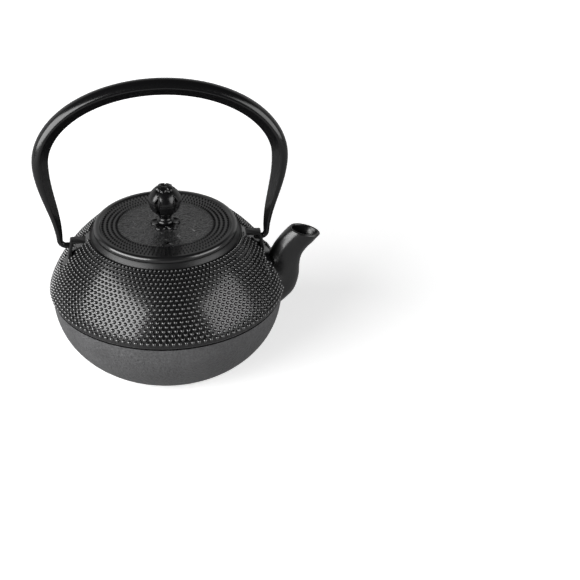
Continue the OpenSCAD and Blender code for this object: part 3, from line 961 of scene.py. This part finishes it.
def bud_relief(lid, place):
    """How far the bud's skin stands out at a point, seen from its middle."""
    r = lid.bud_r
    azimuth = math.atan2(place.y, place.x)
    level = place.normalized().z * r
    around = TURN / lid.petals
    off = (azimuth - lid.slot_turn + around / 2) % around - around / 2
    ring_r = math.sqrt(max(r * r - level * level, 0.0))
    across = abs(off) * ring_r
    rise = max(0.0, min(1.0, (level - 0.9 * MM) / (4.5 * MM)))
    fall = max(0.0, min(1.0, (0.9 * MM - level) / (9 * MM)))
    half = lid.slot_w / 2 * (1 - rise ** 1.6) * (1 - 0.6 * fall)
    slot = math.sqrt(max(0.0, 1 - (across / max(half, 0.1 * MM)) ** 2))
    slot *= smooth_step(-9 * MM, -7.8 * MM, level) * smooth_step(5.4 * MM, 4.6 * MM, level)
    lip = math.exp(-((across - half - 0.35 * MM) / (0.3 * MM)) ** 2)
    lip *= smooth_step(-1 * MM, 1 * MM, level) * smooth_step(6.4 * MM, 5.4 * MM, level)
    groove = math.exp(-((level + 0.4 * MM) / (0.22 * MM)) ** 2) * (1 - slot)
    crown = 0.0
    if level > 0:
        lobe_off = (azimuth - lid.crown_turn + around / 2) % around - around / 2
        dent_off = (azimuth - lid.crown_turn) % around - around / 2
        lobe = math.hypot(ring_r * math.cos(lobe_off) - lid.lobe_r, ring_r * math.sin(lobe_off))
        dent = math.hypot(ring_r * math.cos(dent_off) - lid.dent_r, ring_r * math.sin(dent_off))
        crown += 0.7 * MM * (1 - smooth_step(1.7 * MM, 2.4 * MM, lobe))
        crown -= 0.7 * MM * (1 - smooth_step(0.4 * MM, 1.2 * MM, dent))
        crown -= 0.5 * MM * (1 - smooth_step(0.5 * MM, 1.5 * MM, ring_r))
    return 0.28 * MM * lip - lid.slot_d * slot - 0.16 * MM * groove + crown


class TEAPOT_OT_knob(bpy.types.Operator):
    """Casts the bud knob with its petals and its crown"""

    bl_idname = "teapot.knob"
    bl_label = "Knob"

    def execute(self, context):
        lid = sizes("lid")
        field = lid.top_z - lid.field_drop
        plate = field + lid.plate_t
        middle = field + lid.bud_z
        bm = bmesh.new()
        bmesh.ops.create_uvsphere(bm, u_segments=240, v_segments=140, radius=lid.bud_r)
        for vert in bm.verts:
            vert.co = vert.co.normalized() * (lid.bud_r + bud_relief(lid, vert.co))
        bmesh.ops.translate(bm, vec=(0, 0, middle), verts=bm.verts)
        bud = as_object(bm, "bud", "knob", 60)
        bm = bmesh.new()
        ring_h = 2.6 * MM
        waist = lid.neck_r - 1.5 * MM
        foot = lid.bud_z - lid.bud_r
        outline = [(0, 0), (lid.neck_r - 0.3 * MM, 0), (lid.neck_r, 0.5 * MM), (lid.neck_r + 0.1 * MM, 1.2 * MM),
                   (lid.neck_r, ring_h - 0.8 * MM), (lid.neck_r - 0.4 * MM, ring_h - 0.2 * MM),
                   (lid.neck_r - 0.9 * MM, ring_h + 0.1 * MM), (waist, ring_h + 0.8 * MM),
                   (waist - 0.1 * MM, ring_h + 1.3 * MM), (waist + 0.3 * MM, ring_h + 2.2 * MM),
                   (lid.neck_r - 0.3 * MM, foot), (0, foot + 1.5 * MM)]
        spun(bm, [(r, z + plate) for r, z in outline], 96)
        neck = as_object(bm, "bud_neck", "knob", 40)
        combine(bud, [neck], "UNION")
        bm = bmesh.new()
        bmesh.ops.create_cone(bm, cap_ends=True, segments=40, radius1=lid.stud_r, radius2=lid.stud_r,
                              depth=2 * (middle - plate), matrix=Matrix.Translation((0, 0, plate)))
        combine(bud, [as_object(bm, "bud_bore", "knob")], "DIFFERENCE")
        finish_smooth(bud.data, 50)
        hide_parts("lid_knob")
        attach(bud, "lid")
        return {"FINISHED"}


def plate_ring(lid, share, z):
    """The blossom's outline, drawn in to a share of its size."""
    sides = 160
    around = TURN / lid.petals
    ring = []
    for j in range(sides):
        azimuth = TURN * j / sides
        off = (azimuth - lid.plate_turn + math.pi / 2) % around - around / 2
        side = lid.petal_x * math.sin(off)
        reach = lid.petal_x * math.cos(off) + math.sqrt(max(lid.petal_r ** 2 - side ** 2, 0.0))
        r = reach * share
        ring.append((r * math.cos(azimuth), r * math.sin(azimuth), z))
    return ring


class TEAPOT_OT_plate(bpy.types.Operator):
    """Presses the blossom plate under the knob"""

    bl_idname = "teapot.plate"
    bl_label = "Blossom plate"

    def execute(self, context):
        lid = sizes("lid")
        base = lid.top_z - lid.field_drop
        bm = bmesh.new()
        levels = ((1.0, 0), (1.0, 0.55), (0.985, 0.85), (0.95, 1.0), (0.9, 0.98), (0.82, 0.8), (0.7, 0.6),
                  (0.55, 0.62), (lid.stud_r / lid.petal_x, 0.7))
        loft(bm, [plate_ring(lid, share, base + up * lid.plate_t) for share, up in levels])
        plate = as_object(bm, "blossom_plate", "knob", 50)
        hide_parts("knob_plate")
        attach(plate, "lid")
        dress("knob_stud", "zinc")
        dress("stud_washer", "zinc")
        return {"FINISHED"}


# ---- Infuser ----


class TEAPOT_OT_infuser(bpy.types.Operator):
    """Finishes the infuser's pressed rim, band, mesh wall and mesh floor"""

    bl_idname = "teapot.infuser"
    bl_label = "Infuser"

    def execute(self, context):
        dress("infuser_rim", "steel")
        dress("infuser_band", "steel")
        dress("infuser_mesh", "mesh_wall")
        dress("infuser_floor", "mesh_floor")
        return {"FINISHED"}


# ---- Stage ----


def area_lamp(name, place, aim, size_x, size_y, power):
    """A soft rectangular lamp that faces a point."""
    lamp = bpy.data.lights.new(name, "AREA")
    lamp.shape = "RECTANGLE"
    lamp.size = size_x
    lamp.size_y = size_y
    lamp.energy = power
    made = bpy.data.objects.new(name, lamp)
    made.location = place
    made.rotation_euler = (Vector(aim) - Vector(place)).to_track_quat("-Z", "Y").to_euler()
    bpy.context.scene.collection.objects.link(made)


def set_camera():
    """The camera: above the table and a little left of the pot."""
    yaw, pitch, roll = math.radians(7.06), math.radians(31.61), math.radians(0.66)
    aside, lift, back, level = 81.7 * MM, -2.1 * MM, 1003.4 * MM, 52 * MM
    right = Vector((math.cos(yaw), -math.sin(yaw), 0))
    ahead = Vector((math.cos(pitch) * math.sin(yaw), math.cos(pitch) * math.cos(yaw), -math.sin(pitch)))
    up = right.cross(ahead)
    centre = Vector((0, 0, level))
    turned_right = right * math.cos(roll) + up * math.sin(roll)
    turned_up = up * math.cos(roll) - right * math.sin(roll)
    made = bpy.data.objects.new("camera", bpy.data.cameras.new("camera"))
    made.data.lens = 93.1
    made.data.sensor_width = 36
    made.data.clip_start = 0.05
    made.matrix_world = Matrix.Translation(centre + right * aside + up * lift - ahead * back) @ Matrix((
        turned_right, turned_up, -ahead)).transposed().to_4x4()
    bpy.context.scene.collection.objects.link(made)
    bpy.context.scene.camera = made


def looks_and_mirrors(tree):
    """Whether a ray comes straight from the camera, and whether it comes off
    or through a shiny piece. Floor and backdrop are white to the first and
    dim to the second, so that the black lacquer stays black."""
    path = add_node(tree, "ShaderNodeLightPath")
    mirrored = maths(tree, "MAXIMUM", path.outputs["Is Glossy Ray"], path.outputs["Is Transmission Ray"])
    return path.outputs["Is Camera Ray"], mirrored


class TEAPOT_OT_stage(bpy.types.Operator):
    """Lays the floor and sets the lamps, the world and the camera"""

    bl_idname = "teapot.stage"
    bl_label = "Stage"

    def execute(self, context):
        scene = context.scene
        scene.view_settings.view_transform = "Standard"
        bm = bmesh.new()
        bmesh.ops.create_grid(bm, x_segments=1, y_segments=1, size=0.75)
        floor = as_object(bm, "floor")
        made, tree, surface = new_material("white_paper_floor", linear("#f6f6f6"), {
            "Roughness": 0.9, "Specular IOR Level": 0.0})
        looks, mirrored = looks_and_mirrors(tree)
        seen = maths(tree, "MAXIMUM", looks, ramp(tree, mirrored, 0, 1, 0, 0.12))
        reach = add_node(tree, "ShaderNodeVectorMath", {"operation": "LENGTH"}, {0: object_place(tree)})
        far = maths(tree, "MULTIPLY", looks, ramp(tree, reach.outputs["Value"], 0.3, 0.6, 0, 0.6))
        strength = maths(tree, "ADD", ramp(tree, seen, 0, 1, 0, 0.52), far)
        glow = add_node(tree, "ShaderNodeEmission", {}, {"Color": (1, 1, 1, 1), "Strength": strength})
        tree.links.new(mixed(tree, seen, linear("#949494"), linear("#f6f6f6")), surface.inputs["Base Color"])
        both = add_node(tree, "ShaderNodeAddShader", {}, {0: surface.outputs[0], 1: glow.outputs[0]})
        tree.links.new(both.outputs[0], tree.nodes["Material Output"].inputs["Surface"])
        floor.data.materials.append(made)

        area_lamp("left_softbox", (-0.89, -0.47, 0.45), (0, 0, 0.08), 1.3, 0.78, 24)
        area_lamp("right_softbox", (0.9, -0.5, 0.42), (0, 0, 0.08), 0.9, 0.75, 8)

        world = bpy.data.worlds.new("world")
        world.use_nodes = True
        scene.world = world
        tree = world.node_tree
        looks, mirrored = looks_and_mirrors(tree)
        way = add_node(tree, "ShaderNodeTexCoord").outputs["Generated"]
        split = add_node(tree, "ShaderNodeSeparateXYZ", {}, {"Vector": way})
        behind = ramp(tree, split.outputs["Y"], -0.1, 0.55, 0.03, 0.5)
        wall = maths(tree, "MULTIPLY", ramp(tree, split.outputs["Z"], 0.68, 0.4, 0.04, 1), behind)
        seen = maths(tree, "MAXIMUM", looks, maths(tree, "MULTIPLY", mirrored, wall))
        level = maths(tree, "MAXIMUM", seen, 0.05)
        tree.nodes["Background"].inputs["Color"].default_value = (1, 1, 1, 1)
        tree.links.new(level, tree.nodes["Background"].inputs["Strength"])
        set_camera()
        return {"FINISHED"}


# ---- Sidebar ----

STEPS = ("stage", "pot", "hobnails", "bail", "lid", "plate", "knob", "infuser")


class TEAPOT_PT_sidebar(bpy.types.Panel):
    """Sizes, colours and steps of the teapot"""

    bl_label = "Cast Iron Teapot"
    bl_idname = "TEAPOT_PT_sidebar"
    bl_space_type = "VIEW_3D"
    bl_region_type = "UI"
    bl_category = "Teapot"

    def draw(self, context):
        for step in STEPS:
            self.layout.operator("teapot." + step)
        for name in GROUPS:
            group = getattr(context.scene, "teapot_" + name)
            box = self.layout.box()
            box.label(text=name.capitalize())
            for key in group.__annotations__:
                box.prop(group, key)


GROUPS = {"pot": PotSizes, "hobnails": HobnailSizes, "bail": BailSizes, "lid": LidSizes, "finishes": Finishes}
CLASSES = (
    *GROUPS.values(), TEAPOT_OT_stage, TEAPOT_OT_pot, TEAPOT_OT_hobnails, TEAPOT_OT_bail, TEAPOT_OT_lid,
    TEAPOT_OT_plate, TEAPOT_OT_knob, TEAPOT_OT_infuser, TEAPOT_PT_sidebar,
)


def register():
    """Adds the classes and the scene's groups of sizes."""
    for one in CLASSES:
        bpy.utils.register_class(one)
    for name, group in GROUPS.items():
        setattr(bpy.types.Scene, "teapot_" + name, bpy.props.PointerProperty(type=group))


def unregister():
    """Takes them away again."""
    for name in GROUPS:
        delattr(bpy.types.Scene, "teapot_" + name)
    for one in reversed(CLASSES):
        bpy.utils.unregister_class(one)


def main():
    """Builds the whole teapot."""
    register()
    for step in STEPS:
        getattr(bpy.ops.teapot, step)()


if __name__ == "__main__":
    main()
